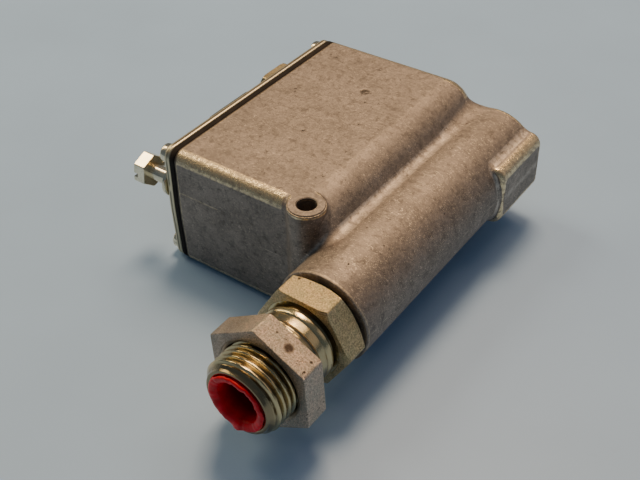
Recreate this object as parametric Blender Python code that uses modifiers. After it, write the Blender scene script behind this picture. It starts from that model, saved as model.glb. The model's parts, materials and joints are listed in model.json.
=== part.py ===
"""A pressure switch: a die-cast body, a side cover with a cable gland, and a pressure port at one end.

Metres, +Z up. The origin is the middle of the underside. The cover faces -X and the port faces -Y.
The numbers are in millimetres, and MM turns them into metres.
"""

import math

import bmesh
import bpy
from mathutils import Matrix

MM = 0.001

# Body
HEIGHT = 38.1
MID = HEIGHT / 2
HALF_LENGTH = 38.8
DRAFT = 0.5
CORNER_R = 3.5
OPEN_FACE = -22.0
CAVITY_FLOOR = 19.5
CAVITY_HALF_Y = 35.2
CAVITY_Z = (3.2, 34.9)
SHOULDER = [(22.3, 38.1), (24.1, 37.6), (25.6, 36.4), (28.4, 32.7), (29.8, 31.6), (32.0, 31.3)]

# Barrel, whose axis runs along Y
BARREL = (35.7, 0, MID)
BARREL_R = 13.2
BARREL_ENDS = (-50.9, 38.5)
PAD_FACE = 49.9
PAD_START = 15.0
BOSS = (21.0, -36.5)
BOSS_R = 5.1
BOSS_HOLE_R = 2.6

# Gasket, cover and what is screwed to it
GASKET = (-23.8, -22.3)
COVER = (-25.9, -24.1)
DOME_FACE = -36.1
DOME_SPAN = (-11.8, 11.3, 8.0, 30.0)
SHEET = 1.2
COVER_SCREWS = [(-34.6, 34.1), (34.6, 34.1), (34.6, 4.0), (-34.6, 4.0)]
COLUMN_R = 4.2
GROUND = (-34.7, 25.5)
GROUND_HEAD = (-38.1, -34.2)
GLAND = (24.6, MID)
GLAND_FLATS = 19.0

# Port fitting
HEX_Y = (-59.5, -52.1)
HEX_FLATS = 24.15
THREAD_R = 10.48
THREAD_END = -84.0
NUT_Y = (-75.95, -69.16)
NUT_FLATS = 27.1
MOUTH_R = 7.7
PLUG_R = 7.4

# Snap switch, lever and bracket
PIVOT = (-8.0, -23.5)
SWITCH_X = (-12.0, 15.8)
SWITCH_Y = (-20.5, -4.6)
SWITCH_Z = (13.9, 24.2)
BUTTON_X = 8.0
SWITCH_SCREW_X = (-9.2, 13.0)
SWITCH_SCREW_Y = -7.6
BRACKET_SCREW = [(9.0, 17.0), (9.0, 29.0)]
SHELF_Z = (11.9, 13.5)
FLANGE_X = (17.6, 19.2)

TURNS = {
    "+X": (0, math.pi / 2, 0),
    "-X": (0, -math.pi / 2, 0),
    "+Y": (-math.pi / 2, 0, 0),
    "+Z": (0, 0, 0),
}

# Colour, roughness, metallic
CASTING = ((0.34, 0.28, 0.22), 0.45, 0.9)
ZINC = ((0.62, 0.52, 0.34), 0.35, 0.9)
BRASS = ((0.66, 0.50, 0.26), 0.35, 0.95)
STEEL = ((0.45, 0.44, 0.42), 0.35, 0.9)
RUBBER = ((0.02, 0.02, 0.02), 0.8, 0.0)
RED = ((0.55, 0.02, 0.02), 0.35, 0.0)
PHENOLIC = ((0.03, 0.03, 0.03), 0.5, 0.0)
IVORY = ((0.75, 0.70, 0.60), 0.4, 0.0)


def clear_scene():
    for obj in list(bpy.data.objects):
        bpy.data.objects.remove(obj)


def collection(name, hidden):
    found = bpy.data.collections.new(name)
    found.hide_render = hidden
    bpy.context.scene.collection.children.link(found)
    return found


clear_scene()
PARTS = collection("pressure_switch", False)
CUTTERS = collection("cutters", True)


def put(name, mesh, axis, at, finish):
    """An object with its local +Z along the axis. With no finish it is a cutter."""
    obj = bpy.data.objects.new(name, mesh)
    obj.location = [v * MM for v in at]
    obj.rotation_euler = TURNS[axis]
    if finish:
        PARTS.objects.link(obj)
        mesh.materials.append(material(name, finish))
        return obj
    CUTTERS.objects.link(obj)
    obj.hide_render = True
    obj.display_type = "WIRE"
    return obj


def material(name, finish):
    made = bpy.data.materials.new(name)
    made.use_nodes = True
    shader = made.node_tree.nodes["Principled BSDF"]
    shader.inputs["Base Color"].default_value = (*finish[0], 1)
    shader.inputs["Roughness"].default_value = finish[1]
    shader.inputs["Metallic"].default_value = finish[2]
    return made


def mesh_of(bm, name):
    mesh = bpy.data.meshes.new(name)
    bm.to_mesh(mesh)
    bm.free()
    return mesh


def block(name, lo, hi, finish=None, axis="+Z", at=(0, 0, 0)):
    """A box between two local corners."""
    bm = bmesh.new()
    middle = [(a + b) / 2 * MM for a, b in zip(lo, hi)]
    sides = [(b - a) * MM for a, b in zip(lo, hi)]
    bmesh.ops.create_cube(bm, size=1, matrix=Matrix.LocRotScale(middle, None, sides))
    return put(name, mesh_of(bm, name), axis, at, finish)


def rod(name, axis, at, r, ends, finish=None, sides=24, corner=0.0):
    """A cylinder or prism between two local heights, with one corner at an angle in degrees."""
    bm = bmesh.new()
    turn = Matrix.Rotation(math.radians(corner - 90), 4, "Z")
    move = Matrix.Translation((0, 0, sum(ends) / 2 * MM))
    depth = abs(ends[1] - ends[0]) * MM
    bmesh.ops.create_cone(
        bm, cap_ends=True, segments=sides, radius1=r * MM, radius2=r * MM, depth=depth, matrix=move @ turn
    )
    return put(name, mesh_of(bm, name), axis, at, finish)


def lathe(name, axis, at, profile, finish=None, ring=False, steps=24):
    """A turned piece from (radius, height) points, which run down its outer side. A ring's outline is closed."""
    mesh = bpy.data.meshes.new(name)
    count = len(profile)
    edges = [(i, (i + 1) % count) for i in range(count if ring else count - 1)]
    mesh.from_pydata([(r * MM, 0, h * MM) for r, h in profile], edges, [])
    obj = put(name, mesh, axis, at, finish)
    screw = obj.modifiers.new("turn", "SCREW")
    screw.steps = steps
    screw.render_steps = steps
    screw.use_merge_vertices = True
    screw.merge_threshold = 1e-5
    return obj


def plate(name, axis, outlines, ends, finish=None):
    """A flat shape between two places on X or Y, from outlines in (Y, Z) or (X, Z). Later ones are holes."""
    curve = bpy.data.curves.new(name, "CURVE")
    curve.dimensions = "2D"
    curve.fill_mode = "BOTH"
    curve.extrude = abs(ends[1] - ends[0]) / 2 * MM
    for outline in outlines:
        spline = curve.splines.new("POLY")
        spline.points.add(len(outline) - 1)
        spline.use_cyclic_u = True
        for point, (u, v) in zip(spline.points, outline):
            point.co = (-v * MM, u * MM, 0, 1) if axis == "+X" else (u * MM, -v * MM, 0, 1)
    shape = bpy.data.objects.new(name, curve)
    CUTTERS.objects.link(shape)
    mesh = bpy.data.meshes.new_from_object(shape)
    bpy.data.objects.remove(shape)
    bm = bmesh.new()
    bm.from_mesh(mesh)
    bmesh.ops.remove_doubles(bm, verts=bm.verts, dist=1e-7)
    bmesh.ops.recalc_face_normals(bm, faces=bm.faces)
    bm.to_mesh(mesh)
    bm.free()
    middle = sum(ends) / 2
    at = (middle, 0, 0) if axis == "+X" else (0, middle, 0)
    return put(name, mesh, axis, at, finish)


def boolean(target, operation, others):
    for other in others:
        modifier = target.modifiers.new(other.name, "BOOLEAN")
        modifier.operation = operation
        modifier.solver = "EXACT"
        modifier.object = other
    return target


def cut(target, *others):
    return boolean(target, "DIFFERENCE", others)


def add(target, *others):
    return boolean(target, "UNION", others)


def keep(target, *others):
    return boolean(target, "INTERSECT", others)


def arc(u, v, r, start, end, count=5):
    """Points on an arc, between two angles in degrees."""
    turns = [math.radians(start + (end - start) * i / (count - 1)) for i in range(count)]
    return [(u + r * math.cos(t), v + r * math.sin(t)) for t in turns]


def rounded(u0, u1, v0, v1, r):
    """A rectangle with rounded corners."""
    corners = [(u1 - r, v1 - r, 0), (u0 + r, v1 - r, 90), (u0 + r, v0 + r, 180), (u1 - r, v0 + r, 270)]
    return [point for u, v, turn in corners for point in arc(u, v, r, turn, turn + 90)]


def body_outline(inset):
    """The body's (Y, Z) outline, widest at the parting plane."""
    half = HALF_LENGTH - DRAFT - inset
    top = HEIGHT - inset
    points = rounded(-half, half, inset, top, CORNER_R)
    return points[:10] + [(-half - DRAFT, MID)] + points[10:] + [(half + DRAFT, MID)]


def hex_blank(name, axis, at, flats, ends, corner, finish, chamfer=0.14):
    """A hexagon with its corners turned off at 30 degrees at both ends."""
    across = flats / math.sqrt(3)
    made = rod(name, axis, at, across, ends, finish, 6, corner)
    lo, hi = sorted(ends)
    face = flats / 2 * (1 - 0.03)
    over = across * 1.02
    drop = (over - face) * math.tan(math.radians(30))
    profile = [(0, hi), (face, hi), (over, hi - drop), (over, lo + drop), (face, lo), (0, lo)]
    return keep(made, lathe("turned_" + name, axis, at, profile))


def slotted_screw(name, axis, seat, head, shank, finish, slot=0.9):
    """A slotted pan-head screw. Head and shank are (radius, length), and the seat is under the head."""
    (r, high), (core, long) = head, shank
    profile = [(0, high), (0.8 * r, high), (r, 0.7 * high), (r, 0), (core, 0), (core, -long), (0, -long)]
    made = lathe(name, axis, seat, profile, finish, steps=12)
    groove = block("slot_" + name, (-slot / 2, -r - 1, 0.5 * high), (slot / 2, r + 1, high + 1), None, axis, seat)
    return cut(made, groove)


def cavity_cutter():
    """The hollow behind the cover, which leaves columns for the screws and a wall round the mounting hole."""
    lo, hi = CAVITY_Z
    made = block("cavity", (-27, -CAVITY_HALF_Y, lo), (CAVITY_FLOOR, CAVITY_HALF_Y, hi))
    columns = []
    for i, (y, z) in enumerate(COVER_SCREWS):
        columns.append(rod(f"column_{i}", "+X", (0, y, z), COLUMN_R, (-28, 21), sides=20))
    columns.append(rod("column_ground", "+X", (0, *GROUND), 5.2, (-28, -7), sides=20))
    columns.append(rod("column_boss", "+Z", (*BOSS, 0), 5.6, (-1, 39), sides=20))
    return cut(made, *columns)


def cover_holes():
    """The holes through the cover and gasket into the body, for the five screws."""
    holes = [rod(f"hole_{i}", "+X", (0, y, z), 1.8, (-27, -12), sides=12) for i, (y, z) in enumerate(COVER_SCREWS)]
    holes.append(rod("hole_ground", "+X", (0, *GROUND), 2.75, (-27, -8), sides=16))
    return holes


def housing(cavity, holes):
    upper = [(-25, 38.1)] + SHOULDER + [(36, 30)]
    lower = [(x, HEIGHT - z) for x, z in reversed(upper)]
    made = plate("housing", "+X", [body_outline(0)], (OPEN_FACE, 34), CASTING)
    keep(made, plate("shoulders", "+Y", [upper + lower], (-41, 41)))
    front, back = BARREL_ENDS
    r = BARREL_R
    rim = [(0, back), (r - 1.8, back), (r - 0.5, back - 0.5), (r, back - 1.8)]
    rim += [(r, front + 0.8), (r - 0.25, front + 0.25), (r - 0.8, front), (0, front)]
    barrel = lathe("barrel", "+Y", BARREL, rim, steps=40)
    edge = 3.5
    pad = [(39, MID - 9.25)] + arc(PAD_FACE - edge, MID - 9.25 + edge, edge, 270, 360)
    pad += [(x, HEIGHT - z) for x, z in reversed(pad)]
    lug = plate("pad", "+Y", [pad], (PAD_START, back - 0.4))
    boss = rod("boss", "+Z", (*BOSS, 0), BOSS_R, (0.1, HEIGHT + 0.1))
    add(made, barrel, lug, boss)
    steps = [(9.5, front - 1, -37), (7.0, -37.5, -33.1), (5.8, -34, -30), (8.5, -30.5, 26.2), (9.5, 26, back + 1)]
    bores = [rod(f"bore_{i}", "+Y", BARREL, size, (lo, hi), sides=28) for i, (size, lo, hi) in enumerate(steps)]
    x, z = BARREL[0], MID
    keyway = block("keyway", (x - 1.8, -1, z + 5), (x + 1.8, 26.3, z + 9.7))
    window = block("window", (15, -27, 14), (x - 4, -20, 24))
    bolt = rod("mounting_hole", "+Z", (*BOSS, 0), BOSS_HOLE_R, (-2, 41))
    blind = [rod(f"blind_{i}", "+X", (0, y, z), 1.8, (15, 25), sides=12) for i, (y, z) in enumerate(BRACKET_SCREW)]
    return cut(made, cavity, *holes, *bores, keyway, window, bolt, *blind)


def cover_side(cavity, holes):
    cut(plate("cover_gasket", "+X", [body_outline(0)], GASKET, RUBBER), cavity, *holes)
    y0, y1, z0, z1 = DOME_SPAN
    cover = plate("cover", "+X", [body_outline(0.2)], COVER, ZINC)
    dome = plate("dome", "+X", [rounded(y0, y1, z0, z1, 3.5)], (DOME_FACE, -24.8))
    soft = dome.modifiers.new("edge", "BEVEL")
    soft.width = 1.6 * MM
    soft.segments = 2
    soft.limit_method = "ANGLE"
    soft.angle_limit = math.radians(60)
    inner = rounded(y0 + SHEET, y1 - SHEET, z0 + SHEET, z1 - SHEET, 2.3)
    hollow = plate("dome_hollow", "+X", [inner], (DOME_FACE + SHEET, -23))
    entry = rod("gland_hole", "+X", (0, *GLAND), 7.7, (-27, -23))
    cut(add(cover, dome), hollow, entry, *holes)
    for i, (y, z) in enumerate(COVER_SCREWS):
        slotted_screw(f"cover_screw_{i + 1}", "-X", (-26.2, y, z), (2.8, 2.8), (1.5, 12), ZINC)
    ground_screw()
    washer = [(4.65, 27.4), (4.65, 26.2), (2.75, 26.2), (2.75, 27.4)]
    lathe("ground_washer", "-X", (0, *GROUND), washer, ZINC, True, 16)


def ground_screw():
    """A slotted hexagon head, standing off the cover on its shank."""
    at = (0, *GROUND)
    outer, inner = -GROUND_HEAD[0], -GROUND_HEAD[1]
    made = hex_blank("ground_screw", "-X", at, 8.65, (inner, outer), 9.3, ZINC)
    shank = [(0, inner + 1), (2.45, inner + 1), (2.45, 10.8), (1.7, 10.0), (0, 10.0)]
    slot = block("slot_ground", (-0.65, -7, outer - 1.5), (0.65, 7, outer + 1), None, "-X", at)
    cut(add(made, lathe("shank_ground", "-X", at, shank, steps=16)), slot)


def gland():
    """A cable gland: body, seal, pressure nut and the locknut inside the cover."""
    at = (0, *GLAND)
    body = hex_blank("gland_body", "-X", at, GLAND_FLATS, (26.2, 30.3), 30, BRASS)
    stub = [(6.6, 35.4), (6.6, 29), (7.4, 29), (7.4, 20.6), (7.0, 20.2), (4.6, 20.2), (4.6, 31.5), (5.6, 31.5), (5.6, 35.4)]
    bore = rod("gland_bore", "-X", at, 5.0, (26, 31))
    add(cut(body, bore), lathe("gland_stub", "-X", at, stub, None, True))
    seal = [(5.3, 36.3), (5.3, 31.8), (3.4, 31.8), (3.4, 36.3)]
    lathe("gland_seal", "-X", at, seal, RUBBER, True, 20)
    nut = hex_blank("gland_nut", "-X", at, GLAND_FLATS, (30.8, 38.0), 30, BRASS)
    cut(nut, rod("nut_bore", "-X", at, 6.9, (30, 36.6)), rod("nut_mouth", "-X", at, 4.6, (36, 39), sides=20))
    back = hex_blank("gland_locknut", "-X", at, GLAND_FLATS, (21.0, 23.7), 0, BRASS)
    cut(back, rod("locknut_bore", "-X", at, 7.7, (20, 25)))


def port():
    """The fitting with its thread, the seal behind it, the bulkhead locknut and the plug in its mouth."""
    front = THREAD_END
    fitting = hex_blank("port_fitting", "+Y", BARREL, HEX_FLATS, HEX_Y, 1.1, STEEL)
    r = THREAD_R
    outer = [(9.2, -38.5), (9.2, -55), (8.9, -57), (8.9, -60.3), (10.0, -60.5), (10.3, -61), (10.3, -62.4)]
    outer += [(10.0, -63), (10.0, -65.2), (9.6, -65.4), (9.6, -66.3), (r, -67), (r, front + 1.9), (r - 1.4, front)]
    inner = [(MOUTH_R + 0.5, front), (MOUTH_R, front + 0.5), (MOUTH_R, -68), (3, -66), (3, -38.5)]
    bore = rod("port_bore", "+Y", BARREL, 6, (HEX_Y[0] - 1, HEX_Y[1] + 1))
    add(cut(fitting, bore), lathe("port_stem", "+Y", BARREL, outer + inner, None, True, 28))
    flat = [(9.6, -51.2), (11.3, -51.2), (11.3, -51.8), (9.6, -51.8)]
    lathe("port_seal", "+Y", BARREL, flat, RUBBER, True)
    nut = hex_blank("bulkhead_locknut", "+Y", BARREL, NUT_FLATS, NUT_Y, -32.4, STEEL)
    lo, hi = NUT_Y
    hole = [(0, hi + 1), (12.3, hi + 1), (10.8, hi - 0.6), (10.8, lo + 0.6), (12.3, lo - 1), (0, lo - 1)]
    cut(nut, lathe("nut_hole", "+Y", BARREL, hole, steps=28))
    cup = [(5.4, front - 0.9), (7.7, front - 0.9), (8.0, front - 0.6), (8.0, front - 0.3), (PLUG_R, front - 0.3)]
    cup += [(PLUG_R, -70.5), (6.9, -70)]
    cup = cup[::-1] + [(5.4 - 0.3, front - 0.5), (5.1, -72), (0, -72)]
    lathe("protective_plug", "+Y", BARREL, [(0, -70)] + cup, RED)


def pressure_train():
    """What the pressure moves, from the diaphragm to the adjusting screw."""
    lathe("diaphragm", "+Y", BARREL, [(0, -37.3), (9.2, -37.3), (9.2, -38.2), (0, -38.2)], RUBBER)
    stem = [(0, -15.2), (1.4, -15.2), (1.8, -15.6), (1.8, -18.9), (2.5, -18.9), (2.5, -20.0), (5.5, -20.0)]
    stem += [(5.5, -21.6), (2.5, -21.6), (2.5, -25.4), (5.5, -25.4), (5.5, -27.0), (2.5, -27.0)]
    stem += [(2.5, -34.5), (6.5, -34.5), (6.5, -36.9), (0, -36.9)]
    lathe("piston", "+Y", BARREL, stem, STEEL, steps=20)
    seat = [(4.9, -14.8), (4.9, -16.8), (7.6, -16.8), (7.6, -18.6), (2.1, -18.6), (2.1, -14.8)]
    lathe("spring_seat", "+Y", BARREL, seat, STEEL, True, 20)
    spring()
    nut = [(4.9, 6.3), (3.2, 6.3), (3.2, 13.3), (8.2, 13.3), (8.2, 8.3), (4.9, 8.3)]
    nut = lathe("adjusting_nut", "+Y", BARREL, [nut[i] for i in (3, 4, 5, 0, 1, 2)], BRASS, True)
    add(nut, block("nut_key", (-1.5, -9.3, 8.6), (1.5, -6, 13.0), None, "+Y", BARREL))
    turned = [(0, 34.4), (2.5, 34.4), (2.9, 34.0), (2.9, 26.3), (5.0, 26.3), (5.0, 24.3), (2.9, 24.3), (2.9, 3.6)]
    turned += [(2.3, 3.0), (0, 3.0)]
    screw = lathe("adjusting_screw", "+Y", BARREL, turned, STEEL, steps=16)
    cut(screw, block("adjuster_slot", (-0.6, -4, 33.0), (0.6, 4, 36), None, "+Y", BARREL))
    bush = [(9.2, 34.8), (9.2, 26.6), (3.2, 26.6), (3.2, 30.6), (5.0, 30.6), (5.0, 34.8)]
    lathe("adjuster_bush", "+Y", BARREL, bush, BRASS, True)
    cap = [(0, 38.3), (8.6, 38.3), (9.2, 37.7), (9.2, 35.2), (7.6, 35.2), (7.6, 36.6), (0, 36.6)]
    cap = lathe("adjuster_cap", "+Y", BARREL, cap, PHENOLIC)
    cut(cap, block("cap_slot", (-0.9, -6.5, 37.4), (0.9, 6.5, 40), None, "+Y", BARREL))


def spring():
    """A compression spring with closed ends."""
    radius, wire, lo, hi = 6.2, 1.0, -16.4, 7.9
    heights = [0.0, 2.2] + [2.2 + i * (hi - lo - 6.4) / 5 for i in range(1, 6)] + [hi - lo - 2 * wire]
    per_turn = 12
    points = []
    for i in range((len(heights) - 1) * per_turn + 1):
        turn = i / per_turn
        whole = min(int(turn), len(heights) - 2)
        rise = heights[whole] + (heights[whole + 1] - heights[whole]) * (turn - whole)
        points.append((radius * math.cos(2 * math.pi * turn), radius * math.sin(2 * math.pi * turn), lo + wire + rise))
    curve = bpy.data.curves.new("range_spring", "CURVE")
    curve.dimensions = "3D"
    curve.bevel_depth = wire * MM
    curve.bevel_resolution = 2
    curve.use_fill_caps = True
    spline = curve.splines.new("POLY")
    spline.points.add(len(points) - 1)
    for point, place in zip(spline.points, points):
        point.co = (*(v * MM for v in place), 1)
    put("range_spring", curve, "+Y", BARREL, STEEL)


def transfer():
    """The lever that carries the piston's movement to the snap switch, on its pin."""
    x, y = PIVOT
    at = (x, y, MID)
    lever = block("transfer_lever", (0, -1.6, -2.0), (40.8, 1.6, 2.0), STEEL, "+Z", at)
    add(lever, rod("lever_hub", "+Z", at, 2.6, (-4.3, 2.4), sides=20))
    cut(lever, rod("lever_hole", "+Z", at, 1.7, (-6, 6), sides=12))
    pin = [(0, 23.2), (1.1, 23.2), (1.4, 22.9), (1.4, 22.6), (1.0, 22.6), (1.0, 21.8), (1.4, 21.8), (1.4, 11.6)]
    pin += [(2.2, 11.6), (2.2, 9.8), (0, 9.8)]
    lathe("lever_pin", "+Z", (x, y, 0), pin, STEEL, steps=14)
    clip = [(2.5, 22.5), (2.5, 21.9), (1.25, 21.9), (1.25, 22.5)]
    ring = lathe("lever_pin_clip", "+Z", (x, y, 0), clip, STEEL, True, 16)
    cut(ring, block("clip_gap", (-4, -0.8, 21), (0, 0.8, 23), None, "+Z", (x, y, 0)))


def bracket():
    """The bent plate that holds the snap switch and the lever's pin."""
    flange = block("switch_bracket", (FLANGE_X[0], -17, SHELF_Z[0]), (FLANGE_X[1], 13, 33), STEEL)
    shelf = block("shelf", (-14, -29, SHELF_Z[0]), (FLANGE_X[1], -3, SHELF_Z[1]))
    holes = [rod("pin_hole", "+Z", (*PIVOT, 0), 1.7, (10, 15), sides=12)]
    for i, x in enumerate(SWITCH_SCREW_X):
        holes.append(rod(f"shelf_hole_{i}", "+Z", (x, SWITCH_SCREW_Y, 0), 1.75, (10, 15), sides=12))
    for i, (y, z) in enumerate(BRACKET_SCREW):
        holes.append(rod(f"flange_hole_{i}", "+X", (0, y, z), 1.75, (16, 20.5), sides=12))
        slotted_screw(f"bracket_screw_{i + 1}", "-X", (17.3, y, z), (2.7, 2.1), (1.45, 7), STEEL)
    cut(add(flange, shelf), *holes)


def snap_switch():
    """The snap-action switch with its button, its three blade terminals and its two fixing screws."""
    lo = (SWITCH_X[0], SWITCH_Y[0], SWITCH_Z[0])
    hi = (SWITCH_X[1], SWITCH_Y[1], SWITCH_Z[1])
    body = block("microswitch", lo, hi, PHENOLIC)
    cutters = [rod("button_hole", "+Y", (BUTTON_X, 0, MID), 1.6, (-22, -16.6), sides=12)]
    for i, x in enumerate(SWITCH_SCREW_X):
        seat = (x, SWITCH_SCREW_Y, 24.5)
        cutters.append(rod(f"switch_hole_{i}", "+Z", (x, SWITCH_SCREW_Y, 0), 1.75, (12, 26), sides=12))
        slotted_screw(f"switch_screw_{i + 1}", "+Z", seat, (2.7, 2.1), (1.45, 15.6), STEEL)
        nut = hex_blank(f"switch_nut_{i + 1}", "+Z", (x, SWITCH_SCREW_Y, 0), 5.5, (9.4, 11.6), 0, STEEL)
        cut(nut, rod(f"switch_nut_bore_{i}", "+Z", (x, SWITCH_SCREW_Y, 0), 1.75, (8, 13), sides=12))
    for name, x in (("terminal_common", -3.0), ("terminal_no", 2.6), ("terminal_nc", 8.2)):
        cutters.append(block("slot_" + name, (x - 2.4, -8.4, MID - 0.7), (x + 2.4, -4, MID + 0.7)))
        blade = block(name, (x - 2.1, -8.0, MID - 0.4), (x + 2.1, 3.2, MID + 0.4), BRASS)
        cut(blade, rod("hole_" + name, "+Z", (x, 0.8, 0), 0.8, (17, 21), sides=12))
    cut(body, *cutters)
    button = [(0, -17.4), (1.3, -17.4), (1.3, -21.2), (0.9, -21.6), (0, -21.6)]
    lathe("switch_button", "+Y", (BUTTON_X, 0, MID), button, RED, steps=12)


def build():
    cavity = cavity_cutter()
    holes = cover_holes()
    housing(cavity, holes)
    cover_side(cavity, holes)
    gland()
    port()
    pressure_train()
    transfer()
    bracket()
    snap_switch()


build()
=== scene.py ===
"""Looks of the pressure switch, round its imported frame. Lengths are in millimetres until a mesh is made."""

import json
import math

import bmesh
import bpy
import numpy as np
from mathutils import Matrix, Vector


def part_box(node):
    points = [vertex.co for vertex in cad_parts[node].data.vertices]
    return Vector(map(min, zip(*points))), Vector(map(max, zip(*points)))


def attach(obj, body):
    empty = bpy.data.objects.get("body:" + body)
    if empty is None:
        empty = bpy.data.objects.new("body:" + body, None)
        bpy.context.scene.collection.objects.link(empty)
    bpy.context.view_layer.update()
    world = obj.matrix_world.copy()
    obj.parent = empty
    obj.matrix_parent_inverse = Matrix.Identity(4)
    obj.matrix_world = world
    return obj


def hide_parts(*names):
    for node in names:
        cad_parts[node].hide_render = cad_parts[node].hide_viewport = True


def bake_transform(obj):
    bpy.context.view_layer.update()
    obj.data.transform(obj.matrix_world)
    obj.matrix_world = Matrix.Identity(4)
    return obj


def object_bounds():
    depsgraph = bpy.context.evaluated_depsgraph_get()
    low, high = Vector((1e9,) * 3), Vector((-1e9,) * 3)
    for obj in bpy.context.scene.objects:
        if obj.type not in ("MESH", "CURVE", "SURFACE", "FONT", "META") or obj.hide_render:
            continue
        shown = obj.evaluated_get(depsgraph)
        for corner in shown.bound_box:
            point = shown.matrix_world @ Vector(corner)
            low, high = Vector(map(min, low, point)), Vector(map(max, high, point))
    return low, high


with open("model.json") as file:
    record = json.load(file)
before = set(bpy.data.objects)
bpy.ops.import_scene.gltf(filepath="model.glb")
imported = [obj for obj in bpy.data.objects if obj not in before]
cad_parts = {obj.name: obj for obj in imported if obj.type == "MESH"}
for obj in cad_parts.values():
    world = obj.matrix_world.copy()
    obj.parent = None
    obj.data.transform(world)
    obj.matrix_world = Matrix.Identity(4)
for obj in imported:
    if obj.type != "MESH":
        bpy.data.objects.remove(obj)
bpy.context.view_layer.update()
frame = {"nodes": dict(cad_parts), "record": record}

MM = 0.001
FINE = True


def span(node):
    """A CAD node's lowest and highest corner, in millimetres."""
    return [np.array(corner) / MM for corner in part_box(node)]


def middle(node):
    return sum(span(node)) / 2


# Body, from the frame
BODY_LO, BODY_HI = span("housing")
AXIS_X, _, MID = middle("port_seal")
HEIGHT = 2 * MID
OPEN_FACE = BODY_LO[0]
FRONT, BACK = BODY_LO[1], BODY_HI[1]
PAD_FACE = BODY_HI[0]
BARREL_R = 13.2
HALF_LENGTH = (span("cover_gasket")[1] - span("cover_gasket")[0])[1] / 2
DRAFT = 0.5
CORNER_R = 3.5
SHOULDER_X = 23.6
SLOPE = math.radians(52.7)
BOSS = (21.0, -36.5)
BOSS_R, BOSS_HOLE_R = 5.1, 2.6
PAD_START = 15.0
PAD_HALF = 9.25
FLOOR_X = span("switch_bracket")[1][0] + 0.3
CAVITY_Y, CAVITY_Z = 35.2, 15.85
COLUMN_R, GROUND_COLUMN_R, BOSS_COLUMN_R = 4.2, 5.2, 5.6
# Each bore along the barrel: radius, then where it starts and ends in Y
BORES = [
    (9.45, FRONT - 1, -37.0),
    (7.0, -38.0, -33.1),
    (5.8, -34.0, -30.0),
    (8.5, -30.5, 26.2),
    (9.45, 26.0, BACK + 1),
]
# The opening that the lever passes through: its middle and half its size
WINDOW, WINDOW_HALF = (24.0, -23.5, MID), (8.0, 3.5, 5.0)

# Cover side
GASKET = (OPEN_FACE, -24.0)
COVER = (-24.0, -25.9)
DOME = (-11.8, 11.3, 8.0, 30.0)
DOME_FACE = span("cover")[0][0]
SHEET = 1.2
SCREWS = {f"cover_screw_{i}": middle(f"cover_screw_{i}") for i in (1, 2, 3, 4)}
GROUND = middle("ground_washer")
GLAND = middle("gland_nut")
SCREW_TAP_R, GROUND_TAP_R = 1.65, 2.65
SCREW_HOLE_R, GROUND_HOLE_R, GLAND_HOLE_R = 1.7, 2.7, 7.7
GROUND_FLATS, GROUND_CORNER = 8.65, 9.3
GLAND_FLATS, GLAND_CORNER = 19, 30
SLOT_TURNS = (28, -35, 75, 10)

# Port
HEX_Y = (-59.5, -52.1)
HEX_FLATS = 24.15
NUT_Y = (span("bulkhead_locknut")[0][1], span("bulkhead_locknut")[1][1])
NUT_FLATS = 27.1
THREAD_R = 10.48
PITCH = 1.814
THREAD_END = span("port_fitting")[0][1]
MOUTH_R = 7.7
AXIS = (AXIS_X, 0, MID)
NUT_CORNER, HEX_CORNER = 32.4, -1.1


# Meshes


def piece(name, verts, faces, body, slot, nodes=(), smooth=40):
    """A mesh object in millimetres that rides on a body and stands for CAD nodes."""
    mesh = bpy.data.meshes.new(name)
    mesh.from_pydata([tuple(v) for v in np.asarray(verts, float) * MM], [], [tuple(f) for f in faces])
    obj = bpy.data.objects.new(name, mesh)
    bpy.context.scene.collection.objects.link(obj)
    tidy(mesh)
    shade(mesh, smooth)
    if body:
        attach(obj, body)
    if nodes:
        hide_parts(*nodes)
    mesh.materials.append(LOOKS[slot])
    return obj


def tidy(mesh):
    """Joins points that coincide, drops what collapses, and turns the faces outwards."""
    bm = bmesh.new()
    bm.from_mesh(mesh)
    bmesh.ops.remove_doubles(bm, verts=bm.verts, dist=1e-7)
    bmesh.ops.dissolve_degenerate(bm, edges=bm.edges, dist=1e-8)
    bmesh.ops.recalc_face_normals(bm, faces=bm.faces)
    bm.to_mesh(mesh)
    bm.free()


def shade(mesh, degrees):
    mesh.polygons.foreach_set("use_smooth", [True] * len(mesh.polygons))
    mesh.set_sharp_from_angle(angle=math.radians(degrees))


def sectors(corner, around=15):
    """Angles round a hexagon, in degrees, drawn close together at its corners."""
    inner = np.linspace(2.5, 57.5, around)
    sector = np.concatenate([[0.0, 0.9], inner, [59.1]])
    return np.concatenate([corner + 60 * i + sector for i in range(6)])


def hexagon(flats, angles, corner):
    """The hexagon's radius at each angle, with its corners slightly eased."""
    off = np.mod(angles - corner, 60) - 30
    return np.minimum(flats / 2 / np.cos(np.radians(off)), flats / math.sqrt(3) * 0.990)


AXES = {
    "+Y": ((1, 0, 0), (0, 0, 1), (0, 1, 0)),
    "-X": ((0, 0, 1), (0, 1, 0), (-1, 0, 0)),
    "+Z": ((1, 0, 0), (0, 1, 0), (0, 0, 1)),
}


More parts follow.
